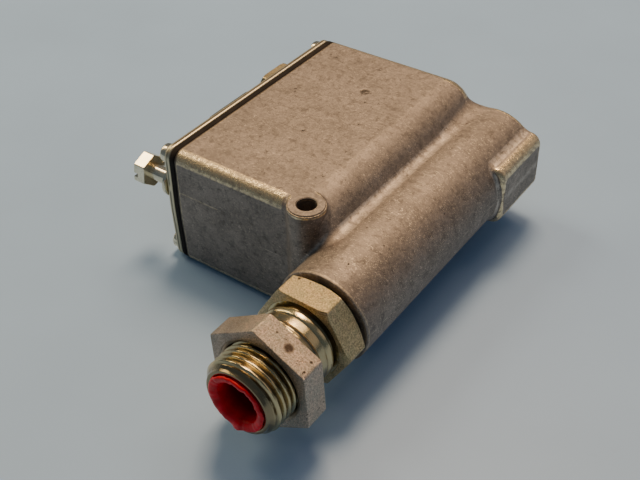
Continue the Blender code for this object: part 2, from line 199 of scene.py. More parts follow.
def turned(name, axis, at, rings, body, slot, nodes=(), angles=None, ring=False, smooth=35):
    """A piece turned about an axis, from rings down its outside. A ring piece closes on itself."""
    angles = np.arange(0, 360, 4.0 if FINE else 9.0) if angles is None else angles
    u, v, w = (np.array(a, float) for a in AXES[axis])
    turn = np.radians(angles)
    flat = np.cos(turn)[:, None] * u + np.sin(turn)[:, None] * v
    rows = []
    for radius, height in rings:
        radius = np.broadcast_to(np.asarray(radius, float).reshape(-1), turn.shape)
        height = np.broadcast_to(np.asarray(height, float).reshape(-1), turn.shape)
        rows.append(np.array(at, float) + radius[:, None] * flat + height[:, None] * w)
    count, many = len(rows), len(turn)
    faces = []
    for i in range(count if ring else count - 1):
        for j in range(many):
            a, b = i * many, (i + 1) % count * many
            k = (j + 1) % many
            faces.append((a + j, b + j, b + k, a + k))
    return piece(name, np.concatenate(rows), faces, body, slot, nodes, smooth)


def tube(name, path, r, body, slot, nodes=(), sides=12):
    """A round wire along a path, with flat ends."""
    path = np.asarray(path, float)
    along = np.gradient(path, axis=0)
    along /= np.linalg.norm(along, axis=1)[:, None]
    across = np.cross(along, (0, 1, 0))
    across /= np.linalg.norm(across, axis=1)[:, None]
    up = np.cross(along, across)
    turn = np.linspace(0, 2 * math.pi, sides, endpoint=False)
    cos, sin = np.cos(turn), np.sin(turn)
    rows = [p + r * (np.outer(cos, a) + np.outer(sin, b)) for p, a, b in zip(path, across, up)]
    faces = [tuple(range(sides)), tuple(range((len(path) - 1) * sides, len(path) * sides))]
    for i in range(len(path) - 1):
        for j in range(sides):
            k = (j + 1) % sides
            faces.append((i * sides + j, i * sides + k, (i + 1) * sides + k, (i + 1) * sides + j))
    return piece(name, np.concatenate(rows), faces, body, slot, nodes)


def slot_cut(obj, lo, hi, turn=0.0, about=(0, 0, 0)):
    """Cuts a straight slot, turned in degrees about a line along X."""
    bm = bmesh.new()
    centre = (np.array(lo) + np.array(hi)) / 2 * MM
    size = (np.array(hi) - np.array(lo)) * MM
    bmesh.ops.create_cube(bm, size=1, matrix=Matrix.LocRotScale(Vector(centre), None, Vector(size)))
    pivot = Vector(about) * MM
    spin = Matrix.Rotation(math.radians(turn), 4, "X")
    spin = Matrix.Translation(pivot) @ spin @ Matrix.Translation(-pivot)
    bmesh.ops.transform(bm, matrix=spin, verts=bm.verts)
    tool_mesh = bpy.data.meshes.new("slot_tool")
    bm.to_mesh(tool_mesh)
    bm.free()
    tool = bpy.data.objects.new("slot_tool", tool_mesh)
    bpy.context.scene.collection.objects.link(tool)
    cut = obj.modifiers.new("slot", "BOOLEAN")
    cut.operation, cut.solver, cut.object = "DIFFERENCE", "EXACT", tool
    bpy.context.view_layer.update()
    made = bpy.data.meshes.new_from_object(obj.evaluated_get(bpy.context.evaluated_depsgraph_get()))
    obj.modifiers.clear()
    obj.data = made
    bpy.data.objects.remove(tool)
    shade(made, 35)


# Distance fields: a cast or pressed shape is where its distance is negative


def blunt(a, b, r):
    """The overlap of two shapes, with the edge where they meet rounded."""
    return np.minimum(np.maximum(a, b), -r) + np.hypot(np.maximum(a + r, 0), np.maximum(b + r, 0))


def merged(a, b, r):
    """Two shapes joined by a fillet."""
    return np.maximum(np.minimum(a, b), r) - np.hypot(np.maximum(r - a, 0), np.maximum(r - b, 0))


def outline(y, z, inset=0.0):
    """The body's outline seen from the cover side, widest at the parting plane."""
    up = np.abs(z - MID)
    near = -y - (HALF_LENGTH - DRAFT * up / MID) + inset
    far = y - (HALF_LENGTH - 0.3 - 0.3 * up / MID) + inset
    return blunt(np.maximum(near, far), up - MID + inset, CORNER_R)


def rectangle(y, z, box, inset, r):
    """A rounded rectangle from a box of (lowest Y, highest Y, lowest Z, highest Z)."""
    y0, y1, z0, z1 = box
    wide = np.abs(y - (y0 + y1) / 2) - (y1 - y0) / 2 + inset
    high = np.abs(z - (z0 + z1) / 2) - (z1 - z0) / 2 + inset
    return blunt(wide, high, r)


def hole(y, z, place, r):
    """A round hole along X, through the (Y, Z) of a place."""
    return np.hypot(y - place[1], z - place[2]) - r


def from_boss(x, y):
    return np.hypot(x - BOSS[0], y - BOSS[1])


def drilled(made, y, z):
    """A sheet with the holes for the cover's screws and the ground screw."""
    for place in SCREWS.values():
        made = np.maximum(made, -hole(y, z, place, SCREW_HOLE_R))
    return np.maximum(made, -hole(y, z, GROUND, GROUND_HOLE_R))


def cavity(x, y, z):
    """The hollow behind the cover, less the columns that the screws go into."""
    made = blunt(blunt(np.abs(y) - CAVITY_Y, np.abs(z - MID) - CAVITY_Z, 1.5), x - FLOOR_X, 1.2)
    for place in SCREWS.values():
        made = blunt(made, -hole(y, z, place, COLUMN_R), 0.8)
    made = blunt(made, -hole(y, z, GROUND, GROUND_COLUMN_R), 0.8)
    return blunt(made, BOSS_COLUMN_R - from_boss(x, y), 0.8)


def casting(x, y, z):
    """The body: a block with a sloped shoulder, a barrel, a pad, a boss, and all that is cut from them."""
    up = np.abs(z - MID)
    slope = math.sin(SLOPE) * (x - SHOULDER_X) + math.cos(SLOPE) * (up - MID)
    block = blunt(outline(y, z), slope, 4.0)
    off_axis = np.hypot(x - AXIS_X, z - MID)
    barrel = blunt(blunt(off_axis - BARREL_R, FRONT - y, 0.35), y - BACK, 1.8)
    made = merged(block, barrel, 2.4 + 2.4 * np.clip((y - 16) / 20, 0, 1))
    ends = np.maximum(PAD_START - y, y - BACK + 0.2)
    pad = blunt(blunt(x - PAD_FACE, up - PAD_HALF, 3.5), ends, 1.4)
    made = merged(made, np.maximum(pad, AXIS_X - x), 1.0)
    made = merged(made, np.maximum(from_boss(x, y) - BOSS_R, up - MID), 1.3)
    made = blunt(blunt(np.maximum(made, up - MID), y - BACK, 0.3), OPEN_FACE - x, 0.15)
    made = blunt(made, -cavity(x, y, z), 0.2)
    made = np.maximum(made, BOSS_HOLE_R - from_boss(x, y))
    for place in SCREWS.values():
        made = np.maximum(made, np.minimum(-hole(y, z, place, SCREW_TAP_R), -12 - x))
    made = np.maximum(made, np.minimum(-hole(y, z, GROUND, GROUND_TAP_R), -8 - x))
    for r, lo, hi in BORES:
        made = np.maximum(made, -np.maximum(off_axis - r, np.maximum(lo - y, y - hi)))
    sides = [np.abs(v - at) - half for v, at, half in zip((x, y, z), WINDOW, WINDOW_HALF)]
    return np.maximum(made, -np.maximum(np.maximum(sides[0], sides[1]), sides[2]))


def pressed_cover(x, y, z):
    """The sheet cover with its drawn middle, open towards the body."""
    inner, outer = COVER
    sheet = blunt(outline(y, z, 0.15), np.maximum(x - inner, outer - x), 0.55)
    raised = blunt(rectangle(y, z, DOME, 0, 4.0), DOME_FACE - x, 2.2)
    made = merged(sheet, np.maximum(raised, x - inner + 0.3), 1.3)
    hollow = blunt(rectangle(y, z, DOME, SHEET, 2.8), DOME_FACE + SHEET - x, 1.2)
    made = blunt(made, -hollow, 0.3)
    return drilled(np.maximum(made, -hole(y, z, GLAND, GLAND_HOLE_R)), y, z)


def gasket(x, y, z):
    """The sheet gasket, open where the cavity is."""
    thick = np.maximum(GASKET[1] - x, x - GASKET[0])
    made = blunt(outline(y, z, 0.05), thick, 0.5)
    return drilled(blunt(made, -cavity(OPEN_FACE - 10, y, z), 0.3), y, z)


def contour(field, lo, hi, step):
    """Points and quads of the surface where a field is nothing, one point to each cell that it crosses."""
    lines = [np.arange(a - 2.37 * step, b + 3 * step, step) for a, b in zip(lo, hi)]
    x, y, z = np.meshgrid(*lines, indexing="ij", sparse=True)
    grid = np.asarray(field(x, y, z), np.float32)
    grid = np.where(grid == 0, np.float32(1e-6), grid)
    inside = grid < 0
    corners = [(i, j, k) for i in (0, 1) for j in (0, 1) for k in (0, 1)]
    size = [n - 1 for n in grid.shape]
    shifted = [inside[tuple(slice(a, a + n) for a, n in zip(c, size))] for c in corners]
    filled = sum(corner.astype(np.int8) for corner in shifted)
    cells = np.argwhere((filled > 0) & (filled < 8))
    index = np.full(size, -1, np.int64)
    index[tuple(cells.T)] = np.arange(len(cells))
    total, hits = np.zeros((len(cells), 3)), np.zeros(len(cells))
    for c in corners:
        for axis in range(3):
            if c[axis]:
                continue
            a = grid[tuple((cells + c).T)]
            other = np.array(c)
            other[axis] = 1
            b = grid[tuple((cells + other).T)]
            crossed = (a < 0) != (b < 0)
            share = np.where(crossed, a / np.where(crossed, a - b, 1), 0)
            point = np.array(c) + share[:, None] * (other - np.array(c))
            total += point * crossed[:, None]
            hits += crossed
    points = (cells + total / hits[:, None]) * step + np.array([line[0] for line in lines])
    quads = []
    for axis in range(3):
        sign = np.moveaxis(inside, axis, 0)
        cell = np.moveaxis(index, axis, 0)
        low, high = sign[:-1, 1:-1, 1:-1], sign[1:, 1:-1, 1:-1]
        for faces_up in (True, False):
            i, j, k = np.nonzero(low & ~high if faces_up else ~low & high)
            around = [cell[i, j, k], cell[i, j + 1, k], cell[i, j + 1, k + 1], cell[i, j, k + 1]]
            quad = np.stack(around, axis=1)
            quads.append(quad if faces_up != (axis == 1) else quad[:, ::-1])
    return points, np.concatenate(quads)


def settled(field, points, step):
    """Points moved onto the surface itself."""
    for _ in range(3):
        at = field(*points.T)
        gaps = np.eye(3) * 0.02
        slope = np.stack([field(*(points + g).T) - field(*(points - g).T) for g in gaps], axis=1) / 0.04
        steep = np.maximum((slope**2).sum(axis=1), 0.3)
        points = points - np.clip(at / steep, -0.3 * step, 0.3 * step)[:, None] * slope
    return points


def from_field(name, field, lo, hi, step, body, slot, nodes=()):
    """A cast or pressed piece, with how far its surface bulges out or in stored at each point."""
    step = step if FINE else 2 * step
    points, quads = contour(field, lo, hi, step)
    points = settled(field, points, step)
    obj = piece(name, points, quads, body, slot, nodes, 50)
    co = np.zeros(len(obj.data.vertices) * 3)
    obj.data.vertices.foreach_get("co", co)
    co = co.reshape(-1, 3) / MM
    reach = 0.7
    around = sum(field(*(co + s * g).T) for g in np.eye(3) * reach for s in (1, -1))
    bulge = (around - 6 * field(*co.T)) / reach**2
    stored = obj.data.attributes.new("bulge", "FLOAT", "POINT")
    stored.data.foreach_set("value", bulge.astype(np.float32))
    steep = np.stack([field(*(co + g).T) - field(*(co - g).T) for g in np.eye(3) * 0.03], axis=1)
    steep /= np.maximum(np.linalg.norm(steep, axis=1), 1e-9)[:, None]
    obj.data.set_sharp_from_angle(angle=math.pi)
    obj.data.normals_split_custom_set_from_vertices(steep)
    return obj


# Materials

X, Y, Z = (1, 0, 0), (0, 1, 0), (0, 0, 1)


def tinted(colour, share):
    """A colour made brighter or darker, no brighter than white."""
    return [min(1.0, v * share) for v in colour]


class Look:
    """A material's node tree, with its pattern fixed to the piece, in millimetres."""

    def __init__(self, name):
        self.made = bpy.data.materials.new(name)
        self.made.use_nodes = True
        self.tree = self.made.node_tree
        self.shader = self.tree.nodes["Principled BSDF"]
        where = self.node("ShaderNodeTexCoord").outputs["Object"]
        self.at = self.vector("SCALE", where, 1 / MM)

    def node(self, kind, **settings):
        made = self.tree.nodes.new(kind)
        for key, value in settings.items():
            setattr(made, key, value)
        return made

    def set(self, socket, value):
        if isinstance(value, bpy.types.NodeSocket):
            self.tree.links.new(value, socket)
        elif socket.type == "RGBA" and len(value) == 3:
            socket.default_value = (*value, 1)
        else:
            socket.default_value = value

    def vector(self, operation, a, b):
        made = self.node("ShaderNodeVectorMath", operation=operation)
        self.set(made.inputs[0], a)
        self.set(made.inputs["Scale"] if operation == "SCALE" else made.inputs[1], b)
        return made.outputs["Value" if operation in ("LENGTH", "DISTANCE", "DOT_PRODUCT") else "Vector"]

    def math(self, operation, a, b=0.0):
        made = self.node("ShaderNodeMath", operation=operation)
        self.set(made.inputs[0], a)
        self.set(made.inputs[1], b)
        return made.outputs[0]

    def times(self, first, *others):
        for other in others:
            first = self.math("MULTIPLY", first, other)
        return first

    def most(self, a, b):
        return self.math("MAXIMUM", a, b)

    def without(self, value):
        """1 where the value is 0, and 0 where it is 1."""
        return self.math("SUBTRACT", 1.0, value)

    def along(self, way):
        """How far a point is along a direction from the origin."""
        return self.vector("DOT_PRODUCT", self.at, way)

    def bulge(self):
        """What from_field stores: above 0 on an edge, below 0 in a fillet."""
        return self.node("ShaderNodeAttribute", attribute_name="bulge").outputs["Fac"]

    def noise(self, size, detail=3.0, rough=0.55, stretch=(1, 1, 1), turn=(0, 0, 0)):
        """A pattern whose patches are about this many millimetres across."""
        place = self.node("ShaderNodeMapping")
        self.set(place.inputs["Vector"], self.at)
        place.inputs["Rotation"].default_value = [math.radians(a) for a in turn]
        place.inputs["Scale"].default_value = [1 / size / s for s in stretch]
        made = self.node("ShaderNodeTexNoise")
        self.set(made.inputs["Vector"], place.outputs[0])
        made.inputs["Scale"].default_value = 1.0
        made.inputs["Detail"].default_value = detail
        made.inputs["Roughness"].default_value = rough
        return made.outputs["Fac"]

    def spots(self, size, reach, share):
        """Round spots on a share of the cells of this size: 1 in the middle of a spot, 0 outside it."""
        made = self.node("ShaderNodeTexVoronoi")
        self.set(made.inputs["Vector"], self.at)
        made.inputs["Scale"].default_value = 1 / size
        chance = self.vector("DOT_PRODUCT", made.outputs["Color"], X)
        chosen = self.ramp(chance, share, share - 0.02)
        return self.times(chosen, self.ramp(made.outputs["Distance"], reach, reach * 0.45))

    def ramp(self, value, start, end, low=0.0, high=1.0):
        """A smooth step from low, where the value is at its start, to high, where it is at its end."""
        made = self.node("ShaderNodeMapRange", interpolation_type="SMOOTHSTEP")
        ends = (start, end, low, high) if start < end else (end, start, high, low)
        self.set(made.inputs["Value"], value)
        for socket, number in zip(("From Min", "From Max", "To Min", "To Max"), ends):
            made.inputs[socket].default_value = number
        return made.outputs["Result"]

    def mix(self, share, a, b):
        """Colour a where the share is 0, and b where it is 1."""
        made = self.node("ShaderNodeMix", data_type="RGBA")
        self.set(made.inputs[0], share)
        self.set(made.inputs[6], a)
        self.set(made.inputs[7], b)
        return made.outputs[2]

    def total(self, *parts):
        """A weighted sum, from pairs of a value and its weight."""
        sum_so_far = None
        for value, weight in parts:
            scaled = self.times(value, weight)
            sum_so_far = scaled if sum_so_far is None else self.math("ADD", sum_so_far, scaled)
        return sum_so_far

    def radius(self, x, y, z, keep):
        """How far a point is from a line through (x, y, z), where keep is 0 along the line."""
        away = self.vector("SUBTRACT", self.at, (x, y, z))
        return self.vector("LENGTH", self.vector("MULTIPLY", away, keep), (0, 0, 0))

    def spot_at(self, point, reach):
        """One round spot: 1 in its middle, 0 outside its reach."""
        return self.ramp(self.vector("DISTANCE", self.at, tuple(point)), reach, reach * 0.4)

    def finish(self, colour, rough, metal, height, depth, **more):
        """Joins the colour, the roughness and the bump, whose depth is in millimetres, to the shader."""
        self.set(self.shader.inputs["Base Color"], colour)
        self.set(self.shader.inputs["Roughness"], rough)
        self.shader.inputs["Metallic"].default_value = metal
        for key, value in more.items():
            self.set(self.shader.inputs[key.replace("_", " ")], value)
        bump = self.node("ShaderNodeBump")
        bump.inputs["Strength"].default_value = 1.0
        bump.inputs["Distance"].default_value = depth * MM
        self.set(bump.inputs["Height"], height)
        self.set(self.shader.inputs["Normal"], bump.outputs[0])
        return self.made


def casting_scratches(look, across):
    """Short scratches each way, closer together on the barrel, and the line where the mould's halves met."""
    lines = None
    for turn, stretch, size, gate in SCRATCHES:
        line = look.ramp(look.noise(size, 1, 0.4, stretch, turn), 0.67, 0.73)
        line = look.times(line, look.ramp(look.noise(gate, 2), 0.52, 0.60))
        lines = line if lines is None else look.most(lines, line)
    lines = look.times(lines, look.ramp(across, 20, 30, 0.25, 1.0))
    part_line = look.ramp(look.radius(0, 0, MID + 0.4, Z), 0.22, 0.08)
    part_line = look.times(part_line, look.ramp(look.noise(3.5, 3), 0.50, 0.58))
    return look.most(lines, look.times(part_line, 0.45))


def casting_look():
    """Die-cast zinc: mottled, with bright specks, dark pits, scratches, and edges and a fillet made bright,
    partly by wear and partly as a painted highlight.
    """
    look = Look("casting")
    across, bulge = look.along(X), look.bulge()

    # Mottling, coarse to fine
    patches, grain, fine = look.noise(9, 4, 0.6), look.noise(1.1, 5, 0.7), look.noise(0.42, 3, 0.6)
    patch = look.ramp(patches, 0.3, 0.7)
    stain = look.ramp(look.noise(2.4, 6, 0.75), 0.50, 0.37, 0.0, 0.6)
    colour = look.mix(patch, (0.222, 0.191, 0.172), (0.290, 0.247, 0.219))
    colour = look.mix(look.ramp(grain, 0.42, 0.70, 0.0, 0.7), colour, (0.38, 0.325, 0.285))
    colour = look.mix(stain, colour, (0.125, 0.107, 0.098))
    colour = look.mix(look.ramp(fine, 0.44, 0.32, 0, 0.55), colour, (0.105, 0.092, 0.085))

    # Bright specks, mostly on the barrel
    specks = look.ramp(look.noise(0.5, 5, 0.85, (2.2, 1, 1), (0, 0, 35)), 0.57, 0.65, 0, 1.0)
    sparks = look.most(look.spots(0.9, 0.20, 0.05), specks)
    sparks = look.times(sparks, look.ramp(look.noise(7, 3), 0.38, 0.58, 0.3, 1.0))
    sparks = look.times(sparks, look.ramp(across, 16, 30, 0.55, 1.0))
    colour = look.mix(look.times(sparks, 0.85), colour, (0.90, 0.77, 0.64))

    # Dark pits, and the mark of one ejector pin on the top
    pits = look.ramp(look.noise(1.5, 5, 0.8), 0.38, 0.31)
    pits = look.times(pits, look.ramp(look.noise(6, 2), 0.44, 0.54))
    pits = look.most(pits, look.times(look.spots(3.7, 0.10, 0.25), 0.8))
    colour = look.mix(look.times(pits, 0.85), colour, (0.035, 0.03, 0.028))
    ragged = look.ramp(look.noise(0.8, 3, 0.7), 0.62, 0.46, 0.35, 1.0)
    mark = look.times(look.spot_at(EJECTOR, 1.9), ragged)
    colour = look.mix(look.times(mark, 0.9), colour, (0.045, 0.036, 0.030))
    lines = casting_scratches(look, across)
    colour = look.mix(look.times(lines, 0.75), colour, (0.70, 0.61, 0.49))

    # Edges made bright, partly by wear and partly as a painted highlight, away from the front face and from
    # the rim by the gasket, which is painted shade
    # Painted shade: the rim next to the gasket, where shade falls between body and gasket
    rim = look.ramp(across, OPEN_FACE + 0.9, OPEN_FACE + 0.4)
    worn_and_sheen = look.times(look.ramp(bulge, 0.20, 0.30), look.ramp(bulge, 1.6, 0.9, 0.2, 1.0))
    worn_and_sheen = look.times(worn_and_sheen, look.ramp(look.along(Y), FRONT + 0.4, FRONT + 1.8, 0.2, 1.0))
    worn_and_sheen = look.times(worn_and_sheen, look.ramp(grain, 0.36, 0.58, 0.25, 1.0), look.without(rim))
    # Painted highlight mixed with wear: convex edges take a light golden colour
    colour = look.mix(look.times(worn_and_sheen, 0.95), colour, (0.88, 0.70, 0.42))
    # Painted shade on the rim by the gasket
    colour = look.mix(look.times(rim, 0.8), colour, (0.055, 0.046, 0.038))

    # The fillet along the barrel made bright: partly rubbed wear, partly a painted highlight
    broken = look.ramp(look.noise(2.2, 4, 0.75), 0.38, 0.58, 0.1, 1.0)
    rubbed_and_sheen = look.times(look.ramp(bulge, -0.20, -0.38), broken, look.ramp(across, 25.0, 27.0))
    colour = look.mix(look.times(rubbed_and_sheen, 0.75), colour, (0.62, 0.54, 0.47))

    rough = look.total((patch, -0.08), (grain, 0.18), (worn_and_sheen, -0.37), (lines, -0.1), (rubbed_and_sheen, -0.2))
    swell = look.noise(3.5, 3)
    height = look.total((fine, 1.0), (grain, 1.6), (swell, 1.6), (pits, -2.5), (lines, -0.5), (patches, 1.8))
    height = look.math("ADD", height, look.times(mark, -4.0))
    return look.finish(colour, look.math("ADD", rough, 0.52), 0.85, height, 0.05)


def plated_look(name, colours, turned_rough, flat_rough, flat_from, spots=(), shade_share=0.0):
    """Zinc plate with a yellow passivation: turned inside the radius flat_from, grainy drawn bar outside."""
    look = Look(name)
    base, other, third = colours
    grain, patch, dimple = look.noise(0.32, 4, 0.7), look.noise(4.5, 3), look.noise(0.40, 3, 0.8)
    away = look.radius(AXIS_X, 0, MID, (1, 0, 1))
    flat = look.ramp(away, flat_from - 0.15, flat_from)
    colour = look.mix(look.ramp(patch, 0.35, 0.65), base, other)
    bloom = look.times(look.ramp(look.noise(2.1, 4, 0.6), 0.48, 0.7, 0, 0.8), flat)
    colour = look.mix(bloom, colour, third)

    # Painted shade at the bottom of the thread and in the grooves
    groove_shade = look.times(look.ramp(away, 10.25, 9.5), look.ramp(away, MOUTH_R + 0.2, MOUTH_R + 0.6))
    colour = look.mix(look.times(groove_shade, 0.75), colour, tinted(third, 0.28))

    # Bright and dark grain on the flats
    bright = look.times(look.ramp(dimple, 0.54, 0.64), flat)
    dark = look.times(look.ramp(dimple, 0.52, 0.41), look.math("ADD", look.times(flat, 0.62), 0.1))
    colour = look.mix(bright, colour, tinted(base, 1.35))
    colour = look.mix(dark, colour, tinted(base, 0.35))

    # Painted shade on the flats that face the cover's side
    if shade_share:
        side_shade = look.ramp(look.along(X), AXIS_X - 2.0, AXIS_X - 9.0, 0.0, shade_share)
        side_shade = look.times(side_shade, look.ramp(patch, 0.30, 0.62, 0.6, 1.0), flat)
        colour = look.mix(side_shade, colour, tinted(third, 0.22))

    # Small dents, and the larger ones at their own places
    marks = look.most(look.spots(1.7, 0.15, 0.18), look.spots(4.2, 0.10, 0.35))
    for point, reach in spots:
        ragged = look.ramp(look.noise(0.8), 0.25, 0.5, 0.6, 1)
        marks = look.most(marks, look.times(look.spot_at(point, reach), ragged))
    colour = look.mix(look.times(marks, 0.95), colour, (0.06, 0.04, 0.028))

    rough = look.total((grain, 0.12), (patch, 0.08), (flat, flat_rough - turned_rough))
    rough = look.math("ADD", rough, turned_rough - 0.08)
    rings = look.times(look.noise(0.22, 2, 0.5, (60, 1, 60)), 0.5, look.without(flat))
    height = look.math("ADD", rings, look.total((grain, 0.5), (marks, -2.5)))
    height = look.math("ADD", height, look.times(dimple, flat, 7.0))
    return look.finish(colour, rough, 0.95, height, 0.035)


def plain_metal(name, base, rough, worn_and_sheen=None, size=0.5):
    """A plain metal with grain and small marks, and edges painted another colour where one is given: partly
    wear, partly a painted highlight.
    """
    look = Look(name)
    grain, patch = look.noise(size, 4, 0.65), look.noise(5, 3)
    colour = look.mix(look.ramp(patch, 0.3, 0.7), base, tinted(base, 1.25))
    colour = look.mix(look.ramp(grain, 0.55, 0.38, 0, 0.45), colour, tinted(base, 0.5))
    marks = look.spots(2.3, 0.14, 0.2)
    colour = look.mix(look.times(marks, 0.6), colour, tinted(base, 0.25))
    if worn_and_sheen:
        # Edges lighter: partly wear, partly a painted highlight
        colour = look.mix(look.ramp(look.bulge(), 0.3, 1.2), colour, worn_and_sheen)
    value = look.math("ADD", look.total((grain, 0.14), (patch, 0.08)), rough - 0.11)
    return look.finish(colour, value, 0.95, look.total((grain, 1.0), (marks, -1.5)), 0.015)


def rubber_look(name, base, rough):
    """Dull rubber or dark moulding, with paler patches."""
    look = Look(name)
    grain, patch = look.noise(0.4, 4, 0.7), look.noise(3.5, 3)
    colour = look.mix(look.ramp(patch, 0.35, 0.7), base, [v * 2.2 + 0.004 for v in base])
    value = look.math("ADD", look.total((grain, 0.2), (patch, 0.1)), rough - 0.15)
    height = look.total((grain, 1.0), (patch, 1.0))
    return look.finish(colour, value, 0.0, height, 0.03, Specular_IOR_Level=0.25)


def plastic_look(name, base, dark, rough):
    """The plug's plastic, with painted shade down its hollow."""
    look = Look(name)
    grain, patch = look.noise(0.5, 3, 0.6), look.noise(3.0, 3)
    colour = look.mix(look.ramp(patch, 0.3, 0.7), base, dark)
    # Painted shade: the plastic made darker deeper down the hollow
    hollow_shade = look.ramp(look.along(Y), THREAD_END + 0.6, THREAD_END + 4.5)
    hollow_shade = look.times(hollow_shade, look.ramp(look.radius(AXIS_X, 0, MID, (1, 0, 1)), 6.6, 5.9))
    colour = look.mix(hollow_shade, colour, tinted(dark, 0.4))
    value = look.math("ADD", look.total((grain, 0.16), (patch, 0.1)), rough - 0.12)
    height = look.total((grain, 0.6), (patch, 1.6))
    return look.finish(colour, value, 0.0, height, 0.05, Specular_IOR_Level=0.22)


# Each set of scratches: which way it is turned, how stretched, how wide, and how far apart its groups are
SCRATCHES = (
    ((0, 0, 41), (45, 1, 1), 0.20, 3),
    ((0, 0, -22), (36, 1, 1), 0.24, 5),
    ((0, 0, 74), (50, 1, 1), 0.18, 7),
    ((35, 0, 12), (30, 1, 1), 0.20, 4),
    ((20, 0, -58), (26, 1, 1), 0.16, 3),
)
EJECTOR = ((OPEN_FACE + SHOULDER_X) / 2 + 2.4, 16.3, HEIGHT)


def on_hex(flats, angle, y, aside=0.0):
    """A point on a flat of a hexagon about the barrel's axis."""
    a = math.radians(angle)
    out, along = (math.cos(a), math.sin(a)), (-math.sin(a), math.cos(a))
    return AXIS_X + flats / 2 * out[0] + aside * along[0], y, MID + flats / 2 * out[1] + aside * along[1]


NUT_MID = sum(NUT_Y) / 2
NUT_SPOTS = [
    (on_hex(NUT_FLATS, NUT_CORNER + 30, NUT_MID - 0.1, -0.5), 1.7),
    (on_hex(NUT_FLATS, NUT_CORNER + 30, NUT_MID + 1.2, -6.2), 0.5),
    (on_hex(NUT_FLATS, NUT_CORNER + 30, NUT_MID - 1.9, -6.6), 0.45),
]
HEX_SPOTS = [(on_hex(HEX_FLATS, HEX_CORNER + 91, HEX_Y[1] - 1.2, 4.8), 0.55)]

FITTING_COLOURS = (0.60, 0.475, 0.27), (0.52, 0.455, 0.27), (0.62, 0.475, 0.30)
NUT_COLOURS = (0.60, 0.475, 0.375), (0.47, 0.425, 0.35), (0.60, 0.475, 0.385)
LOOKS = {
    "casting": casting_look(),
    "gasket_rubber": rubber_look("gasket_rubber", (0.008, 0.005, 0.004), 0.8),
    "seal_rubber": rubber_look("seal_rubber", (0.012, 0.012, 0.013), 0.6),
    "passivated_sheet": plain_metal("passivated_sheet", (0.17, 0.155, 0.125), 0.38, (0.64, 0.57, 0.40)),
    "passivated_screws": plain_metal("passivated_screws", (0.78, 0.70, 0.53), 0.19, size=0.35),
    "brass": plain_metal("brass", (0.58, 0.47, 0.27), 0.36),
    "fitting_steel": plated_look("fitting_steel", FITTING_COLOURS, 0.18, 0.33, 10.9, HEX_SPOTS),
    "nut_steel": plated_look("nut_steel", NUT_COLOURS, 0.28, 0.28, 11.5, NUT_SPOTS, 0.5),
    "red_plastic": plastic_look("red_plastic", (0.92, 0.004, 0.022), (0.60, 0.001, 0.010), 0.32),
    "bright_steel": plain_metal("bright_steel", (0.52, 0.51, 0.48), 0.26, size=0.3),
    "spring_steel": plain_metal("spring_steel", (0.36, 0.35, 0.34), 0.34, size=0.4),
    "black_plastic": rubber_look("black_plastic", (0.020, 0.019, 0.018), 0.42),
}


# Pieces


def thread(top, depth, pitch, start, end, angles, fade_in, fade_out, step=0.12, lead=0.0):
    """Rings of a right-hand thread with 55 degree flanks, fading in and out at its ends."""
    rings = []
    heights = np.arange(0, abs(end - start) + 1e-6, step if FINE else 2 * step) * np.sign(end - start) + start
    for height in heights:
        phase = np.mod(height / pitch + np.asarray(angles) / 360 + lead, 1)
        away = np.clip((np.abs(phase - 0.5) * 2 - 0.16) / 0.68, 0, 1)
        down = 0.55 * away + 0.45 * away**2 * (3 - 2 * away)
        fade = min(1, abs(height - start) / fade_in) * min(1, abs(height - end) / fade_out)
        rings.append((top - depth * down * fade, height))
    return rings


def hex_rings(flats, angles, corner, inner, outer, inner_r, outer_r, ease=(0.985, 0.985)):
    """Rings over a hexagon from one face to the other, its corners turned off a little at both."""
    wide = hexagon(flats, angles, corner)
    near, far = (flats / math.sqrt(3) * share for share in ease)
    way = np.sign(outer - inner)
    start = inner + way * (np.maximum(wide - near, 0) * 0.577 + 0.12)
    end = outer - way * (np.maximum(wide - far, 0) * 0.577 + 0.12)
    rings = [(inner_r, inner), (np.minimum(wide, near) - 0.14, inner), (wide, start)]
    rings += [(wide, inner + (outer - inner) * t) for t in np.linspace(0.2, 0.8, 4)]
    return rings + [(wide, end), (np.minimum(wide, far) - 0.14, outer), (outer_r, outer)]


def joined(*parts):
    return [ring for part in parts for ring in part]


def wave(angles, *terms):
    """A ragged line round a piece, from how many waves go round, how high and where they start."""
    return sum(height * np.sin(np.radians(angles * count + start)) for count, height, start in terms)


def body_pieces():
    """The casting, and the machined ring on its boss."""
    lo, hi = np.array([OPEN_FACE, FRONT, 0.0]), np.array([PAD_FACE, BACK, HEIGHT])
    from_field("cast_body", casting, lo, hi, 0.42, "body", "casting", ("housing",))
    inside, outside, bottom, top = BOSS_HOLE_R, 4.85, HEIGHT - 0.9, HEIGHT + 0.32
    ring = [(inside, bottom), (outside, bottom), (outside, top - 0.17)]
    ring += [(outside - 0.15, top), (inside + 0.25, top), (inside, top - 0.22)]
    angles = np.arange(0, 360, 5.0 if FINE else 10.0)
    turned("boss_face", "+Z", (*BOSS, 0), ring, "body", "casting", angles=angles, ring=True)


